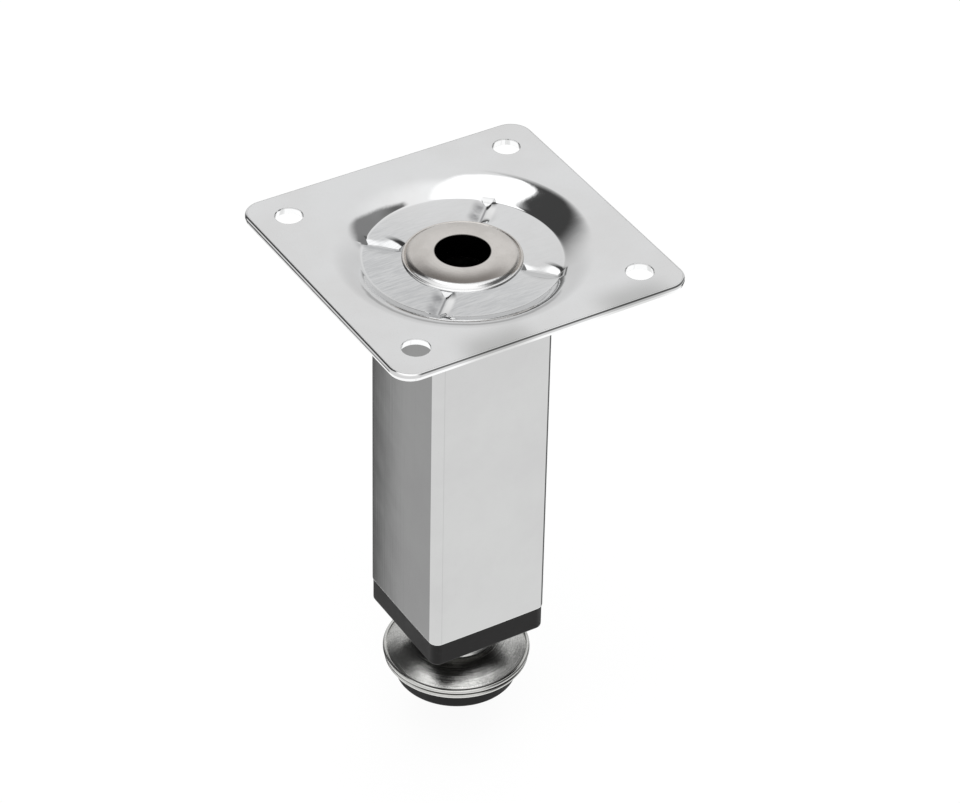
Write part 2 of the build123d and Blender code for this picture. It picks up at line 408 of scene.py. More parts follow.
def soft_plus(value, softness):
    """The larger of a value and zero, with a smooth passage between them."""
    return softness * np.logaddexp(0, value / softness)


def groove_drop(x, y):
    """How deep the radial grooves are at a point of the recess."""
    drop = np.zeros_like(x)
    for k in range(groove_count):
        angle = radians(groove_start_angle + 360 * k / groove_count)
        along = (x * cos(angle) + y * sin(angle) - groove_middle) / groove_half_length
        across = x * -sin(angle) + y * cos(angle)
        across = np.sqrt(across**2 + groove_valley_round**2) - groove_valley_round
        half_width = groove_half_width * (1 - groove_narrowing * np.clip(along**2, 0, 1))
        flank = groove_depth * (1 - groove_end_loss * along**2 - across / half_width)
        end = groove_end_slope * groove_half_length * (1 - np.abs(along))
        drop += soft_plus(np.minimum(flank, end), groove_shoulder_round)
    return drop


def recess_height(x, y):
    """Height of the plate's top face in and round the recess, whose mouth is wider on one side."""
    radius = np.hypot(x, y)
    wide = radians(recess_wide_side)
    share = (0.5 + 0.5 * (x * cos(wide) + y * sin(wide)) / radius) ** 4
    run = recess_mouth_radius + recess_mouth_spread * share - recess_floor_radius
    climb = np.clip(soft_plus(radius - recess_floor_radius, recess_heel_softness) / run, 0, 1)
    return plate_top - recess_depth * (1 - climb) ** recess_wall_power - groove_drop(x, y)


def recess_surface(radii, angles):
    """Points and unit normals of the recess's top face, on rings of these radii."""
    x = radii[:, None] * np.cos(angles)
    y = radii[:, None] * np.sin(angles)
    h = slope_sample
    slope_x = (recess_height(x + h, y) - recess_height(x - h, y)) / (2 * h)
    slope_y = (recess_height(x, y + h) - recess_height(x, y - h)) / (2 * h)
    normals = np.stack([-slope_x, -slope_y, np.ones_like(x)], axis=-1)
    outermost = radii >= recess_grid_radius - tiny
    normals[outermost] = (0, 0, 1)
    normals /= np.linalg.norm(normals, axis=-1, keepdims=True)
    height = recess_height(x, y)
    height[outermost] = plate_top
    return np.stack([x, y, height], axis=-1), normals


def recess_angles():
    """Directions round the recess, closer together over the grooves."""
    fine = np.arange(-groove_fan, groove_fan, groove_angle_step)
    coarse = np.arange(groove_fan, 90 - groove_fan, plain_angle_step)
    quarter = np.concatenate([fine, coarse])
    turns = [groove_start_angle + 90 * k + quarter for k in range(groove_count)]
    return np.radians(np.concatenate(turns))


def hole_centres():
    """The middles of the screw holes."""
    half = screw_spacing / 2
    return [(sx * half, sy * half) for sx in (1, -1) for sy in (1, -1)]


def flat_face(shell, loops, inside, height, upward):
    """A flat face between closed loops of points. inside says which points belong to it."""
    points = [tuple(p) for loop in loops for p in loop]
    edges = []
    start = 0
    for loop in loops:
        count = len(loop)
        edges += [(start + i, start + (i + 1) % count) for i in range(count)]
        start += count
    half = plate_side / 2
    ticks = np.arange(-half, half, flat_grid_spacing)
    points += [(x, y) for x in ticks for y in ticks if inside(x, y, flat_grid_margin)]
    spots = [Vector(p) for p in points]
    made, _, faces, origin, _, _ = delaunay_2d_cdt(spots, edges, [], 0, 1e-5)
    exact = np.array([points[o[0]] if o else tuple(v) for v, o in zip(made, origin)])
    kept = [f for f in faces if inside(*exact[list(f)].mean(axis=0), 0.0)]
    level = np.full(len(exact), height)
    normals = np.tile([0.0, 0.0, upward], (len(exact), 1))
    shell.add(np.column_stack([exact, level]), normals, [list(f) for f in kept])


def on_flat(outer_half, outer_corner, hole_radius):
    """A test for points of the plate's flat face, a margin away from its edges."""

    def inside(x, y, margin):
        half = outer_half - margin
        corner = max(outer_corner - margin, 0.01)
        flat = half - corner
        over = (max(abs(x) - flat, 0.0), max(abs(y) - flat, 0.0))
        if max(abs(x), abs(y)) > half or np.hypot(*over) > corner:
            return False
        if np.hypot(x, y) < recess_grid_radius + margin:
            return False
        return all(np.hypot(x - cx, y - cy) > hole_radius + margin for cx, cy in hole_centres())

    return inside


def circle(centre, radius):
    """Points round a screw hole."""
    angles = np.linspace(0, 2 * pi, hole_points, endpoint=False)
    return np.array(centre) + radius * np.column_stack([np.cos(angles), np.sin(angles)])


def recess_radii():
    """Radii of the rings, closer together over the grooves and at the foot of the wall."""
    groove_start, heel_start, heel_end, mouth_start = ring_stops
    plain_step, groove_step = ring_steps
    heel_rings, wall_rings, mouth_rings = ring_counts
    return np.concatenate(
        [
            [rivet_hole_radius],
            np.arange(rivet_hole_radius + plain_step, groove_start, plain_step),
            np.arange(groove_start, heel_start, groove_step),
            np.linspace(heel_start, heel_end, heel_rings)[:-1],
            np.linspace(heel_end, mouth_start, wall_rings)[:-1],
            np.linspace(mouth_start, recess_grid_radius, mouth_rings),
        ]
    )


def make_plate(material):
    shell = Shell()
    underside = plate_top - plate_sheet
    angles = recess_angles()
    radii = recess_radii()
    top, top_normals = recess_surface(radii, angles)
    shell.grid(top, top_normals)
    coarse = np.append(np.arange(0, len(radii) - 1, underside_ring_step), len(radii) - 1)
    under = top[coarse] - plate_sheet * top_normals[coarse]
    shell.grid(under, -top_normals[coarse])
    bore = np.stack([top[0], under[0]])
    inward = np.column_stack([-np.cos(angles), -np.sin(angles), np.zeros(len(angles))])
    shell.grid(bore, np.stack([inward, inward]))

    half = plate_side / 2
    rim = rounded(
        [
            *arc((plate_edge_round, plate_top - plate_edge_round), plate_edge_round, 90, 180),
            (0, underside + plate_shear_height),
            (plate_shear_inset, underside),
            (plate_edge_round, underside),
        ],
        closed=False,
    )
    rim = rim[::-1]
    rim_points, rim_normals = sweep_square(half, plate_corner_radius, rim, closed=False)
    rim_normals[0] = (0, 0, -1)
    rim_normals[-1] = (0, 0, 1)
    shell.grid(rim_points, rim_normals)

    mouth = np.column_stack([np.cos(angles), np.sin(angles)]) * recess_grid_radius
    bevel_radius = screw_hole_radius + screw_hole_round
    wide_radius = screw_hole_radius + screw_hole_taper
    sides = (
        (plate_top, 1.0, rim_points[-1], bevel_radius),
        (underside, -1.0, rim_points[0], wide_radius),
    )
    for height, upward, outline, hole_radius in sides:
        inside = on_flat(half - plate_edge_round, plate_corner_radius - plate_edge_round, hole_radius)
        holes = [circle(c, hole_radius) for c in hole_centres()]
        flat_face(shell, [outline[:, :2], mouth, *holes], inside, height, upward)
    wall = rounded(
        [
            (bevel_radius, plate_top),
            (screw_hole_radius, plate_top),
            (screw_hole_radius, plate_top - screw_hole_land),
            (wide_radius, underside),
        ],
        closed=False,
        reaches=[((screw_hole_radius, plate_top), screw_hole_round)],
    )
    wall_normals = -path_normals(wall, closed=False)
    wall_normals[0] = (0, 1)
    wall_normals[-1] = (0, -1)
    spokes = circle((0, 0), 1.0)
    facing = [np.column_stack([n * spokes, np.full(hole_points, m)]) for n, m in wall_normals]
    facing = np.array(facing)
    for centre in hole_centres():
        rings = [np.column_stack([circle(centre, r), np.full(hole_points, z)]) for r, z in wall]
        shell.grid(np.array(rings), facing)
    return shell.piece("pressed_plate", "leg", "chrome_plate", material, "mounting_plate")


def make_rivet(material):
    head_top = floor_top + rivet_head_rise
    clinch_bottom = rivet_low[2]
    clinch_top = clinch_bottom + rivet_clinch_height
    barrel = rivet_bore_radius + rivet_wall
    lip = (rivet_bore_radius + rivet_lip_round, head_top)
    dome = (rivet_dome_radius, head_top - rivet_dome_drop)
    edge = (rivet_edge_radius, floor_top + rivet_edge_height)
    path = [
        (rivet_bore_radius, clinch_bottom),
        (rivet_bore_radius, head_top),
        *swung(lip, dome, rivet_lip_slope, 1.0),
        *swung(dome, edge, rivet_edge_slope, 5.0),
        *arc((rivet_ring_middle, floor_top), rivet_ring_radius, rivet_ring_start_angle, 0, 8.0),
        (barrel, floor_top),
        (barrel, clinch_top),
        (rivet_clinch_radius, clinch_top),
        (rivet_clinch_radius, clinch_bottom),
    ]
    reaches = [
        ((rivet_bore_radius, head_top), rivet_lip_round),
        ((rivet_bore_radius, clinch_bottom), rivet_clinch_round),
    ]
    shell = Shell()
    lathe(shell, rounded(path, reaches=reaches)[::-1])
    return shell.piece("rivet_head", "leg", "satin_rivet", material, "hollow_rivet")


def bulged(points, normals, half, amount):
    """Lets the faces of a square tube swell a little between their corners."""
    x, y = points[..., 0].copy(), points[..., 1].copy()
    across_x, across_y = 1 - amount * (y / half) ** 2, 1 - amount * (x / half) ** 2
    slope_x, slope_y = -2 * amount * y / half**2, -2 * amount * x / half**2
    points[..., 0], points[..., 1] = x * across_x, y * across_y
    n_x, n_y = normals[..., 0].copy(), normals[..., 1].copy()
    det = across_x * across_y - x * slope_x * y * slope_y
    normals[..., 0] = (across_y * n_x - y * slope_y * n_y) / det
    normals[..., 1] = (across_x * n_y - x * slope_x * n_x) / det
    return points, normals


def make_tube(material):
    bottom, top = tube_low[2], tube_high[2]
    section = rounded(
        [(0, bottom), (0, top), (tube_wall, top), (tube_wall, bottom)],
        reaches=[((0, bottom), tube_edge_round)],
    )
    section = section[::-1]
    points, normals = sweep_square(tube_side / 2, tube_corner_radius, section)
    points, normals = bulged(points, normals, tube_side / 2, tube_bulge)
    drop = groove_drop(points[..., 0], points[..., 1])
    notch = np.where(drop > tube_notch_least, drop + tube_notch_clearance, 0.0)
    at_top = points[..., 2] > top - tube_notch_reach
    points[..., 2] -= np.where(at_top, notch, 0.0)
    shell = Shell()
    shell.grid(points, normals)
    return shell.piece("square_tube", "leg", "chrome_tube", material, "leg_tube")


def make_stud(material):
    low, tip = stud_low[2], stud_high[2]
    neck = low + stud_head_height
    rows = np.arange(neck + thread_first_row, tip - stud_tip_chamfer, thread_row_step)
    shank = [(thread_radius, z) for z in rows]
    path = [
        (0, low + stud_socket_depth),
        (stud_socket_radius, low + stud_socket_depth),
        (stud_socket_radius, low),
        (stud_head_radius, low),
        (stud_head_radius, neck),
        (thread_radius, neck),
    ]
    path = rounded(path, closed=False)[:-1]
    end = [(thread_radius - stud_tip_chamfer, tip), (0, tip)]
    path = np.vstack([path, shank, end])
    shell = Shell()
    lathe(shell, path, closed=False, segments=128)
    points = shell.points[0]
    radius = np.hypot(points[:, 0], points[:, 1])
    on_shank = (radius > thread_radius - 0.01) & (points[:, 2] > neck + thread_start)
    turn = np.arctan2(points[:, 1], points[:, 0]) / (2 * pi)
    phase = (points[:, 2] / thread_pitch - turn) % 1.0
    ridge = np.clip(np.abs(2 * phase - 1) * thread_flank - thread_crest, 0, 1)
    runout = np.clip((points[:, 2] - neck - thread_start) / thread_runout, 0, 1)
    depth = np.where(on_shank, thread_depth * ridge * runout, 0.0)
    points[:, :2] *= ((radius - depth) / np.maximum(radius, 1e-9))[:, None]
    return shell.piece("threaded_stud", "foot", "zinc_stud", material, "foot_stud", own_normals=False)


def make_disc(material):
    bottom, top = disc_low[2], disc_high[2]
    bead = (foot_rim_radius - foot_bead_radius, bottom + foot_bead_lift)
    lip = (foot_rim_radius - foot_lip_inset - foot_lip_bead_radius, bottom + foot_lip_bead_radius)
    crease = (
        bead[0] + foot_bead_radius * cos(radians(foot_bead_start_angle)),
        bead[1] + foot_bead_radius * sin(radians(foot_bead_start_angle)),
    )
    rise = sqrt(foot_dome_radius**2 - (crease[0] - foot_dome_centre_radius) ** 2)
    centre = (foot_dome_centre_radius, crease[1] - rise)
    under_radius = foot_dome_radius - foot_sheet
    mouth = foot_rim_radius - foot_rim_width

    def angle_at(radius, arc_radius):
        return degrees(acos((radius - foot_dome_centre_radius) / arc_radius))

    dome = arc(
        centre,
        foot_dome_radius,
        angle_at(foot_boss_base_radius, foot_dome_radius),
        angle_at(crease[0], foot_dome_radius),
        1.0,
    )
    under = arc(
        centre,
        under_radius,
        angle_at(mouth, under_radius),
        angle_at(foot_boss_base_radius - foot_sheet, under_radius),
        3.0,
    )
    path = [
        (foot_boss_top_radius, top),
        *dome,
        *arc(bead, foot_bead_radius, foot_bead_start_angle, foot_bead_end_angle, 8.0),
        (foot_rim_radius - foot_notch_inset, bottom + foot_notch_height),
        *arc(lip, foot_lip_bead_radius, foot_lip_start_angle, -90, 10.0),
        (mouth, bottom),
        *under,
        (foot_boss_top_radius - foot_sheet, top - foot_sheet),
        (foot_hole_radius, top - foot_sheet),
        (foot_hole_radius, top),
    ]
    # The dome's first side is one step long, so the heel's rounding starts from a longer side
    heel = dome[0]
    apart = [np.hypot(p[0] - heel[0], p[1] - heel[1]) for p in path]
    path = [p for p, gap in zip(path, apart) if not 0 < gap < foot_heel_clearance]
    reaches = [((foot_boss_top_radius, top), foot_edge_reach), (heel, foot_heel_reach)]
    shell = Shell()
    lathe(shell, rounded(path, reaches=reaches)[::-1])
    return shell.piece("pressed_foot", "foot", "zinc_foot", material, "foot_disc")


def make_pad(material):
    path = [
        (0, 0),
        (pad_radius, 0),
        (pad_radius, pad_height),
        (pad_pillar_radius, pad_height),
        (pad_pillar_radius, stud_low[2]),
        (pad_spigot_radius, stud_low[2]),
        (pad_spigot_radius, pad_high[2]),
        (0, pad_high[2]),
    ]
    shell = Shell()
    path = rounded(path, closed=False, reaches=[((pad_radius, 0), pad_edge_reach)])
    lathe(shell, path, closed=False)
    return shell.piece("moulded_pad", "pad", "black_pad", material, "foot_pad")


# Materials and light


class Graph:
    """Adds nodes to a material's or a world's tree."""

    def __init__(self, tree):
        self.tree = tree
        tree.nodes.clear()

    def node(self, kind, **settings):
        made = self.tree.nodes.new(kind)
        for name, value in settings.items():
            setattr(made, name, value)
        return made

    def feed(self, socket, value):
        if isinstance(value, bpy.types.NodeSocket):
            self.tree.links.new(value, socket)
        else:
            socket.default_value = value

    def math(self, operation, *values):
        made = self.node("ShaderNodeMath", operation=operation)
        for socket, value in zip(made.inputs, values):
            self.feed(socket, value)
        return made.outputs[0]

    def dot(self, vector, direction):
        made = self.node("ShaderNodeVectorMath", operation="DOT_PRODUCT")
        self.feed(made.inputs[0], vector)
        self.feed(made.inputs[1], direction)
        return made.outputs["Value"]

    def product(self, first, *others):
        """Multiplies numbers."""
        for other in others:
            first = self.math("MULTIPLY", first, other)
        return first

    def toward(self, x, y, side):
        """How far a point lies towards a side of the leg, which is a direction in degrees."""
        return self.math("MULTIPLY_ADD", y, sin(radians(side)), self.product(x, cos(radians(side))))

    def ramp(self, value, start, end, low=0.0, high=1.0):
        """Passes smoothly from low to high as the value goes from start to end."""
        made = self.node("ShaderNodeMapRange", interpolation_type="SMOOTHSTEP")
        for socket, number in zip(made.inputs, (value, start, end, low, high)):
            self.feed(socket, number)
        return made.outputs[0]

    def window(self, value, low, high, soft):
        """1 between low and high, and 0 well outside them."""
        rise = self.ramp(value, low - soft, low + soft)
        fall = self.ramp(value, high - soft, high + soft, 1.0, 0.0)
        return self.product(rise, fall)

    def blend(self, factor, first, second):
        """A number between two others."""
        made = self.node("ShaderNodeMix", data_type="FLOAT")
        self.feed(made.inputs["Factor"], factor)
        self.feed(made.inputs["A"], first)
        self.feed(made.inputs["B"], second)
        return made.outputs["Result"]

    def colour(self, factor, first, second):
        """A colour between two others."""
        made = self.node("ShaderNodeMix", data_type="RGBA")
        self.feed(made.inputs["Factor"], factor)
        self.feed(made.inputs[6], (*first, 1.0) if isinstance(first, tuple) else first)
        self.feed(made.inputs[7], (*second, 1.0) if isinstance(second, tuple) else second)
        return made.outputs[2]

    def place(self, stretch=(1.0, 1.0, 1.0)):
        """The point on the object, in metres, stretched."""
        coordinates = self.node("ShaderNodeTexCoord")
        mapping = self.node("ShaderNodeMapping")
        self.feed(mapping.inputs["Vector"], coordinates.outputs["Object"])
        self.feed(mapping.inputs["Scale"], stretch)
        return mapping.outputs["Vector"]

    def polar(self, place):
        """Distance from the leg's axis, and the three coordinates."""
        split = self.node("ShaderNodeSeparateXYZ")
        self.feed(split.inputs[0], place)
        x, y, z = split.outputs
        across = self.math("MULTIPLY_ADD", y, y, self.product(x, x))
        return self.math("SQRT", across), x, y, z

    def noise(self, place, scale, detail=4.0, roughness=0.5):
        made = self.node("ShaderNodeTexNoise")
        self.feed(made.inputs["Vector"], place)
        self.feed(made.inputs["Scale"], scale)
        self.feed(made.inputs["Detail"], detail)
        self.feed(made.inputs["Roughness"], roughness)
        return made.outputs["Fac"]

    def bump(self, height, distance, strength=1.0, before=None):
        made = self.node("ShaderNodeBump")
        self.feed(made.inputs["Height"], height)
        self.feed(made.inputs["Distance"], distance)
        self.feed(made.inputs["Strength"], strength)
        if before is not None:
            self.feed(made.inputs["Normal"], before)
        return made.outputs["Normal"]

    def surface(self, **sockets):
        shader = self.node("ShaderNodeBsdfPrincipled")
        for name, value in sockets.items():
            self.feed(shader.inputs[name.replace("_", " ")], value)
        output = self.node("ShaderNodeOutputMaterial")
        self.tree.links.new(shader.outputs[0], output.inputs["Surface"])


def new_graph(name):
    material = bpy.data.materials.new(name)
    material.use_nodes = True
    return material, Graph(material.node_tree)


# The side where the recess floor's painted shade is strongest, then the colours of that shade, of the
# painted shade along the grooves and of the darker patches at the front edge
plate_shaded_side = recess_wide_side - 30
shaded_chrome = (0.55, 0.56, 0.57)
painted_shade_tone = (0.2, 0.2, 0.21)
front_patch_tone = (0.36, 0.36, 0.35)


def chrome_finish(name, light, dark, streak, unevenness, shade_radius=None):
    """Bright chrome plate with faint smudges, ripples and rubbing marks along one direction.

    Given a radius, the chrome inside it gets painted shade, strongest on one side and broken
    up by brushed streaks. The two grooves along the line y = x get painted shade in streaks on
    one flank, a painted highlight on the other flank and painted shade along the valley, and
    the plate's front edge is darker in two patches.
    """
    material, graph = new_graph(name)
    place = graph.place()
    smudge = graph.noise(place, 60.0, 6.0, 0.6)
    tone = graph.colour(graph.ramp(smudge, 0.35, 0.7), light, dark)
    if shade_radius is not None:
        radius, x, y, _ = graph.polar(place)
        # Painted shade on the recess floor, strongest towards one side, broken up by brushed streaks
        toward = graph.math("DIVIDE", graph.toward(x, y, plate_shaded_side), shade_radius * MM)
        side = graph.ramp(toward, -0.6, 0.6, 0.15, 0.85)
        inside = graph.ramp(radius, (shade_radius - 0.4) * MM, shade_radius * MM, 1.0, 0.0)
        brushed = graph.noise(graph.place((300.0, 2600.0, 300.0)), 1.0, 4.0, 0.65)
        brushed_shade = graph.math("MULTIPLY_ADD", graph.ramp(brushed, 0.25, 0.75), 0.7, 0.3)
        tone = graph.colour(graph.product(brushed_shade, graph.product(side, inside)), tone, shaded_chrome)

        # Along the two grooves on the line y = x: painted shade in streaks on one flank, a painted
        # highlight on the other, painted shade along the valley
        across = graph.math("SUBTRACT", y, x)
        flank_start = graph.ramp(across, 0.0, 1.0 * MM)
        flank = graph.product(flank_start, graph.ramp(across, 4.2 * MM, 1.4 * MM))
        stretch = graph.window(radius, 12.2 * MM, 17.6 * MM, 1.0 * MM)
        streaks = graph.noise(place, 300.0, 3.0, 0.6)
        # Painted shade in streaks on one flank of the grooves
        flank_shade = graph.product(flank, stretch, graph.ramp(streaks, 0.2, 0.7))
        tone = graph.colour(graph.product(flank_shade, 0.8), tone, painted_shade_tone)
        # A painted highlight along the grooves' other flank
        groove_highlight = graph.product(graph.window(across, -2.8 * MM, -0.8 * MM, 0.6 * MM), stretch)
        tone = graph.colour(groove_highlight, tone, (0.97, 0.97, 0.97))
        # Painted shade along the grooves' valley
        valley_shade = graph.product(graph.window(across, -0.45 * MM, 0.1 * MM, 0.2 * MM), stretch)
        tone = graph.colour(graph.product(valley_shade, 0.7), tone, painted_shade_tone)

        # Darker in two patches at the front edge
        wave = graph.math("COSINE", graph.product(graph.math("ADD", x, 10.0 * MM), 224.0))
        front_edge = graph.ramp(y, -22.5 * MM, -29.6 * MM)
        front_patches = graph.product(graph.ramp(wave, -0.6, 1.0), front_edge)
        tone = graph.colour(graph.product(front_patches, 0.52), tone, front_patch_tone)
    rubbed = graph.noise(graph.place(streak), 1.0, 3.0, 0.6)
    roughness = graph.math("MULTIPLY_ADD", graph.ramp(rubbed, 0.45, 0.75), 0.05, 0.035)
    ripple = graph.bump(graph.noise(place, 90.0, 2.0), 0.00006 * unevenness)
    normal = graph.bump(rubbed, 0.000004 * unevenness, before=ripple)
    graph.surface(Base_Color=tone, Metallic=1.0, Roughness=roughness, Normal=normal)
    return material


def satin_finish(name, light, dark, roughness, bore_radius=None, dome_edge_radius=None):
    """Satin steel with fine turning marks and painted shade down its bore, and on one side painted
    shade on the dome and a polished edge painted lighter as a highlight.
    """
    material, graph = new_graph(name)
    place = graph.place()
    radius, x, y, _ = graph.polar(place)
    rings = graph.node("ShaderNodeTexNoise", noise_dimensions="1D")
    graph.feed(rings.inputs["W"], graph.product(radius, 9000.0))
    graph.feed(rings.inputs["Detail"], 3.0)
    cloud = graph.noise(place, 220.0, 5.0, 0.6)
    tone = graph.colour(graph.ramp(cloud, 0.3, 0.75), light, dark)
    if bore_radius is not None:
        # Painted shade down the bore
        bore_shade = graph.ramp(radius, bore_radius * MM, (bore_radius + 0.25) * MM, 1.0, 0.0)
        tone = graph.colour(bore_shade, tone, (0.03, 0.028, 0.026))
    rough = graph.math("MULTIPLY_ADD", cloud, 0.12, roughness - 0.06)
    if dome_edge_radius is not None:
        # On one side: painted shade on the dome
        toward = graph.toward(x, y, recess_wide_side)
        near = graph.ramp(graph.math("DIVIDE", toward, radius), 0.15, 0.95)
        ring = graph.ramp(radius, (dome_edge_radius - 3.6) * MM, (dome_edge_radius - 0.4) * MM)
        darkening = graph.product(near, ring, 0.8)
        tone = graph.colour(darkening, tone, (0.13, 0.112, 0.1))
        # On that side the polished band reaches further in: its lower roughness is real polish, its
        # lighter colour a painted highlight
        limit = graph.math("MULTIPLY_ADD", near, -1.6 * MM, (dome_edge_radius + 1.6) * MM)
        polish_and_highlight = graph.ramp(graph.math("SUBTRACT", radius, limit), -0.15 * MM, 0.15 * MM)
        tone = graph.colour(polish_and_highlight, tone, (0.86, 0.86, 0.86))
        rough = graph.blend(polish_and_highlight, rough, 0.1)
    grain = graph.bump(graph.noise(place, 4000.0, 2.0), 0.000006)
    normal = graph.bump(rings.outputs["Fac"], 0.000006, before=grain)
    graph.surface(Base_Color=tone, Metallic=1.0, Roughness=rough, Normal=normal)
    return material


def spangled_finish(name, light, dark, roughness, notch, groove):
    """Zinc plate, mottled, with turning marks, and on one side a rim painted paler as a highlight.

    On that side painted shade lies in the notch under the rim and in its groove: notch and
    groove are the heights and the radii, in metres, between which the painted shade lies.
    """
    material, graph = new_graph(name)
    place = graph.place()
    radius, x, y, height = graph.polar(place)
    rings = graph.node("ShaderNodeTexNoise", noise_dimensions="1D")
    graph.feed(rings.inputs["W"], graph.product(radius, 5000.0))
    graph.feed(rings.inputs["Detail"], 3.0)
    cloud = graph.noise(place, 260.0, 6.0, 0.7)
    speck = graph.noise(place, 3600.0, 4.0, 0.7)
    darkening = graph.math("MULTIPLY_ADD", speck, 0.6, graph.product(cloud, 0.4))
    tone = graph.colour(graph.ramp(darkening, 0.36, 0.66), light, dark)
    # On one side the rim is painted paler as a highlight, and painted shade lies under it and in its
    # groove
    toward = graph.toward(x, y, foot_painted_side)
    marked = graph.ramp(graph.math("DIVIDE", toward, radius), 0.2, 0.75)
    on_rim = graph.ramp(radius, 13.3 * MM, 13.6 * MM)
    rim_highlight = graph.product(on_rim, marked)
    tone = graph.colour(graph.product(rim_highlight, 0.8), tone, (0.64, 0.64, 0.62))
    # Painted shade in the notch under the rim
    outside = graph.ramp(radius, 12.8 * MM, 13.2 * MM)
    notch_shade = graph.product(graph.window(height, *notch, 0.08 * MM), outside)
    tone = graph.colour(graph.product(notch_shade, marked), tone, (0.06, 0.06, 0.055))
    # Painted shade in the crease inside the rim
    crease = graph.product(graph.window(radius, *groove, 0.06 * MM), marked)
    tone = graph.colour(crease, tone, (0.1, 0.1, 0.095))
    rough = graph.math("MULTIPLY_ADD", cloud, 0.12, roughness - 0.06)
    plain = graph.math("SUBTRACT", 1.0, graph.product(on_rim, 0.85))
    hammered = graph.bump(cloud, 0.000025, plain)
    grain = graph.bump(speck, 0.000012, plain, before=hammered)
    normal = graph.bump(rings.outputs["Fac"], 0.000014, plain, before=grain)
    graph.surface(Base_Color=tone, Metallic=1.0, Roughness=rough, Normal=normal)
    return material


def plastic_finish(name, colour, marked, roughness):
    """Black moulded plastic with a fine grain and faint scuffs."""
    material, graph = new_graph(name)
    place = graph.place()
    scuff = graph.noise(graph.place((400.0, 400.0, 1500.0)), 1.0, 4.0, 0.6)
    tone = graph.colour(graph.ramp(scuff, 0.55, 0.8), colour, marked)
    rough = graph.math("MULTIPLY_ADD", graph.noise(place, 300.0), 0.2, roughness - 0.1)
    grain = graph.bump(graph.noise(place, 5000.0, 2.0), 0.00001)
    graph.surface(Base_Color=tone, Roughness=rough, Specular_IOR_Level=0.24, Normal=grain)
    return material


def view_axes():
    """The camera's right, up and forward directions and its place, in millimetres."""
    azimuth, elevation, roll = (radians(a) for a in (view_azimuth, view_elevation, view_roll))
    back = np.array([sin(azimuth) * cos(elevation), -cos(azimuth) * cos(elevation), sin(elevation)])
    level = np.cross(-back, (0, 0, 1))
    level /= np.linalg.norm(level)
    above = np.cross(level, -back)
    right = cos(roll) * level + sin(roll) * above
    up = -sin(roll) * level + cos(roll) * above
    place = back * view_distance - right * view_shift_right - up * view_shift_up
    place += np.array([0, 0, plate_top])
    return right, up, -back, place


def make_camera():
    right, up, forward, place = view_axes()
    data = bpy.data.cameras.new("photo_view")
    data.sensor_fit = "HORIZONTAL"
    data.sensor_width = sensor_width
    data.lens = view_focal_pixels * sensor_width / photo_width
    data.clip_start = camera_clip_start
    data.clip_end = camera_clip_end
    camera = bpy.data.objects.new("photo_view", data)
    turn = Matrix([[right[i], up[i], -forward[i]] for i in range(3)]).to_4x4()
    camera.matrix_world = Matrix.Translation(Vector(place * MM)) @ turn
    bpy.context.scene.collection.objects.link(camera)
    bpy.context.scene.camera = camera


# Light of the studio's parts, where 1 is white
room_front = 0.83
room_back = 1.02
room_middle = 0.82
room_low = 0.69
ceiling_light = 1.35
back_wall_light = 1.25
floor_light = 1.2
floor_glow = 1.07
floor_glow_share = 0.85


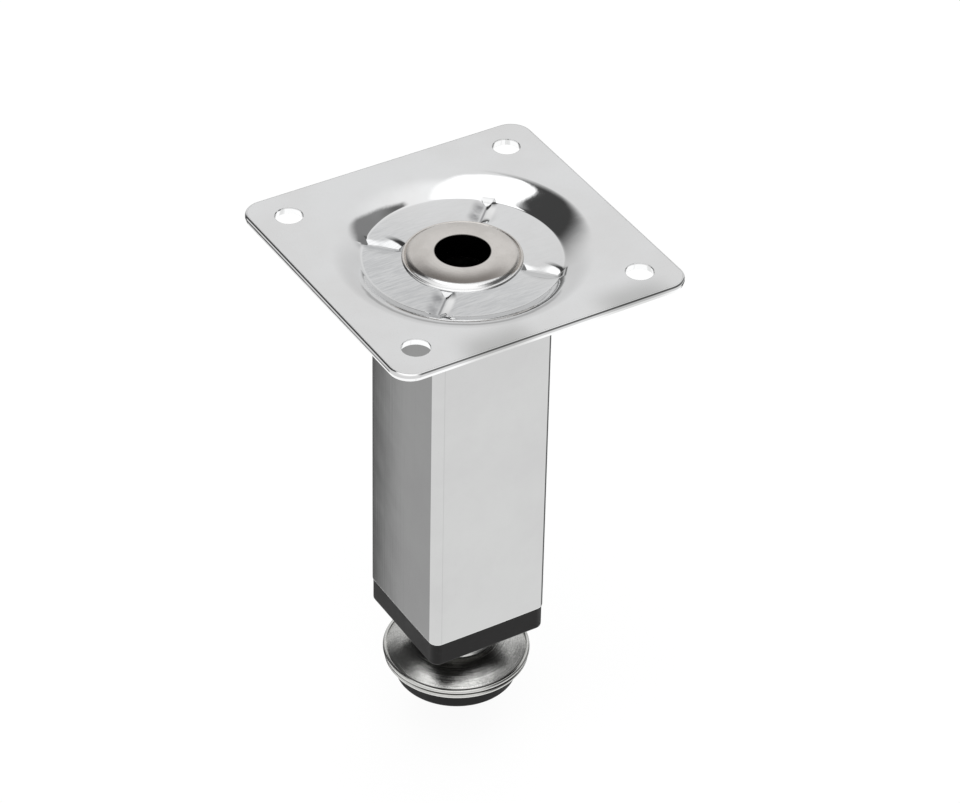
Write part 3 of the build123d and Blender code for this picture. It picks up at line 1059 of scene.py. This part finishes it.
def make_world():
    """A studio seen in the chrome: a pale room, a bright ceiling and soft dark screens.

    azimuth is 0 straight ahead in the photograph and grows to the right, and height is the
    angle above the horizon.
    """
    world = bpy.data.worlds.new("studio")
    bpy.context.scene.world = world
    world.use_nodes = True
    graph = Graph(world.node_tree)
    direction = graph.node("ShaderNodeTexCoord").outputs["Generated"]
    _, _, forward, _ = view_axes()
    ahead = np.array([forward[0], forward[1], 0.0]) / np.hypot(forward[0], forward[1])
    side = np.array([ahead[1], -ahead[0], 0.0])
    front = graph.dot(direction, tuple(ahead))
    right = graph.dot(direction, tuple(side))
    up = graph.dot(direction, (0.0, 0.0, 1.0))
    azimuth = graph.product(graph.math("ARCTAN2", right, front), degrees(1))
    height = graph.product(graph.math("ARCSINE", up), degrees(1))

    # A pale room, brighter towards the back, with a white ceiling behind and to the left
    across = graph.math("MULTIPLY_ADD", front, 0.65, graph.product(right, 0.76))
    pale = graph.ramp(azimuth, 20.0, 95.0, room_front, room_back)
    ceiling = graph.blend(graph.ramp(across, 0.1, 0.19), ceiling_light, pale)
    in_front = graph.product(graph.ramp(front, 0.3, 0.7), graph.window(height, -20.0, 20.0, 12.0))
    light = graph.blend(in_front, room_middle, room_low)
    light = graph.blend(graph.ramp(height, 35.0, 50.0), light, pale)
    light = graph.blend(graph.ramp(height, 57.0, 62.0), light, ceiling)
    back_wall = graph.product(graph.ramp(front, -0.2, -0.8), graph.ramp(height, 5.0, 45.0))
    light = graph.blend(back_wall, light, back_wall_light)
    light = graph.blend(graph.ramp(height, -42.0, -48.0), light, floor_light)

    # A dark screen at the left that leans to the front, its edge softer low down
    low = graph.ramp(height, -28.0, -20.0, 1.0, 0.0)
    edge = graph.ramp(height, -5.0, 35.0, -64.0, -90.0)
    edge_width = graph.ramp(height, -5.0, 35.0, 5.5, 12.0)
    from_edge = graph.math("SUBTRACT", azimuth, edge)
    past_edge = graph.ramp(graph.math("DIVIDE", from_edge, edge_width), -1.0, 1.0)
    low_edge = graph.ramp(azimuth, -62.0, -58.0, 0.574, 1.0)
    low_edge = graph.product(low_edge, graph.ramp(azimuth, -71.0, -66.0))
    past_edge = graph.blend(low, past_edge, low_edge)
    lean = graph.math("MAXIMUM", graph.math("SUBTRACT", height, 20.0), 0.0)
    lean = graph.math("MINIMUM", graph.product(lean, lean, 0.025), 23.0)
    fading = graph.ramp(graph.math("SUBTRACT", azimuth, lean), -56.0, -23.0, 0.93, 0.0)
    above = graph.ramp(height, -46.5, -40.5)
    within = graph.product(above, graph.ramp(height, 59.5, 62.5, 1.0, 0.0))
    screen = graph.product(past_edge, fading, within)

    # Low dark sides in front, which the tube's outer corners mirror
    sides = graph.window(azimuth, -45.0, 62.0, 6.0)
    sides = graph.product(sides, graph.window(height, -42.0, -27.0, 2.0))
    dark = graph.math("MAXIMUM", screen, graph.product(sides, 0.85))
    light = graph.product(light, graph.math("SUBTRACT", 1.0, dark))

    # A large board at the right, its top rising towards the back
    board_top = graph.math("MINIMUM", graph.math("MULTIPLY_ADD", azimuth, 0.464, 20.2), 59.0)
    board = graph.ramp(graph.math("SUBTRACT", height, board_top), -3.5, 1.5, 1.0, 0.0)
    board = graph.product(
        board,
        graph.ramp(azimuth, 34.0, 44.0, 0.0, 0.7),
        graph.ramp(azimuth, 60.0, 80.0, 1.0, 1.23),
        graph.ramp(azimuth, 116.0, 148.0, 1.0, 0.0),
        graph.ramp(height, -18.0, -2.0),
    )
    light = graph.product(light, graph.math("SUBTRACT", 1.0, board))

    # A dark arch low in front, and a dim strip behind that the tube's near corner mirrors
    arch = graph.math("MULTIPLY_ADD", graph.product(azimuth, azimuth), 0.045, height)
    line = graph.product(graph.window(arch, 4.0, 10.0, 2.0), graph.window(azimuth, -16.0, 16.0, 4.0))
    light = graph.product(light, graph.math("MULTIPLY_ADD", line, -0.35, 1.0))
    corner = graph.product(graph.window(azimuth, 122.0, 129.0, 3.0), low)
    light = graph.product(light, graph.math("MULTIPLY_ADD", corner, -0.16, 1.0))

    rays = graph.node("ShaderNodeLightPath")
    seen = graph.blend(rays.outputs["Is Camera Ray"], light, 1.0)
    background = graph.node("ShaderNodeBackground")
    graph.feed(background.inputs["Color"], (1.0, 1.0, 1.0, 1.0))
    graph.feed(background.inputs["Strength"], seen)
    output = graph.node("ShaderNodeOutputWorld")
    graph.tree.links.new(background.outputs[0], output.inputs["Surface"])


def make_floor():
    """A pale floor that shows white, with a faint shadow, and lets the chrome mirror the room."""
    material, graph = new_graph("pale_floor")
    matt = graph.node("ShaderNodeBsdfDiffuse")
    graph.feed(matt.inputs["Color"], (0.92, 0.92, 0.92, 1.0))
    glow = graph.node("ShaderNodeEmission")
    rays = graph.node("ShaderNodeLightPath")
    mix = graph.node("ShaderNodeMixShader")
    graph.feed(glow.inputs["Strength"], floor_glow)
    graph.feed(mix.inputs[0], graph.product(rays.outputs["Is Camera Ray"], floor_glow_share))
    graph.tree.links.new(matt.outputs[0], mix.inputs[1])
    graph.tree.links.new(glow.outputs[0], mix.inputs[2])
    output = graph.node("ShaderNodeOutputMaterial")
    graph.tree.links.new(mix.outputs[0], output.inputs["Surface"])
    half = floor_half_side * MM
    corners = [(-half, -half, 0), (half, -half, 0), (half, half, 0), (-half, half, 0)]
    mesh = bpy.data.meshes.new("floor")
    mesh.from_pydata(corners, [], [(0, 1, 2, 3)])
    mesh.materials.append(material)
    floor = bpy.data.objects.new("floor", mesh)
    floor.location.z = -floor_depth * MM
    bpy.context.scene.collection.objects.link(floor)
    floor.visible_glossy = False


def dress(node, material):
    """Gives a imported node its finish."""
    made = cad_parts[node]
    made.data.materials.clear()
    made.data.materials.append(material)


make_camera()
make_world()
make_floor()

plate_light = (0.84, 0.845, 0.85)
plate_dark = (0.8, 0.8, 0.8)
plate_streak = (500.0, 500.0, 500.0)
plate_chrome = chrome_finish(
    "plate_chrome", plate_light, plate_dark, plate_streak, 1.5, recess_floor_radius
)
tube_light = (0.775, 0.78, 0.775)
tube_dark = (0.74, 0.74, 0.74)
tube_streak = (2500.0, 2500.0, 40.0)
tube_chrome = chrome_finish("tube_chrome", tube_light, tube_dark, tube_streak, 0.3)
rivet_light = (0.76, 0.73, 0.7)
rivet_dark = (0.66, 0.63, 0.6)
rivet_steel = satin_finish(
    "rivet_steel", rivet_light, rivet_dark, 0.24, rivet_bore_radius, rivet_dome_radius
)
zinc = satin_finish("zinc_plate", (0.66, 0.66, 0.64), (0.56, 0.56, 0.54), 0.22)
# Heights and radii of the painted shade under the foot's rim and in its groove
rim_notch = [(disc_low[2] + foot_notch_height + step) * MM for step in (-0.31, 0.2)]
rim_crease = [(foot_rim_radius - step) * MM for step in (0.86, 0.7)]
foot_light = (0.76, 0.76, 0.74)
foot_dark = (0.46, 0.46, 0.45)
foot_zinc = spangled_finish("foot_zinc", foot_light, foot_dark, 0.16, rim_notch, rim_crease)
inner_zinc = satin_finish("inner_zinc", (0.5, 0.5, 0.48), (0.4, 0.4, 0.38), 0.4)
insert_dark = (0.005, 0.0045, 0.0045)
insert_plastic = plastic_finish("insert_plastic", insert_dark, (0.015, 0.015, 0.015), 0.4)
pad_dark = (0.005, 0.005, 0.005)
pad_plastic = plastic_finish("pad_plastic", pad_dark, (0.014, 0.014, 0.014), 0.5)

make_plate(plate_chrome)
make_rivet(rivet_steel)
make_tube(tube_chrome)
make_stud(zinc)
make_disc(foot_zinc)
make_pad(pad_plastic)
dress("end_insert", insert_plastic)
dress("head_cup", inner_zinc)
dress("captive_nut", inner_zinc)

bpy.context.scene.view_settings.view_transform = "Standard"
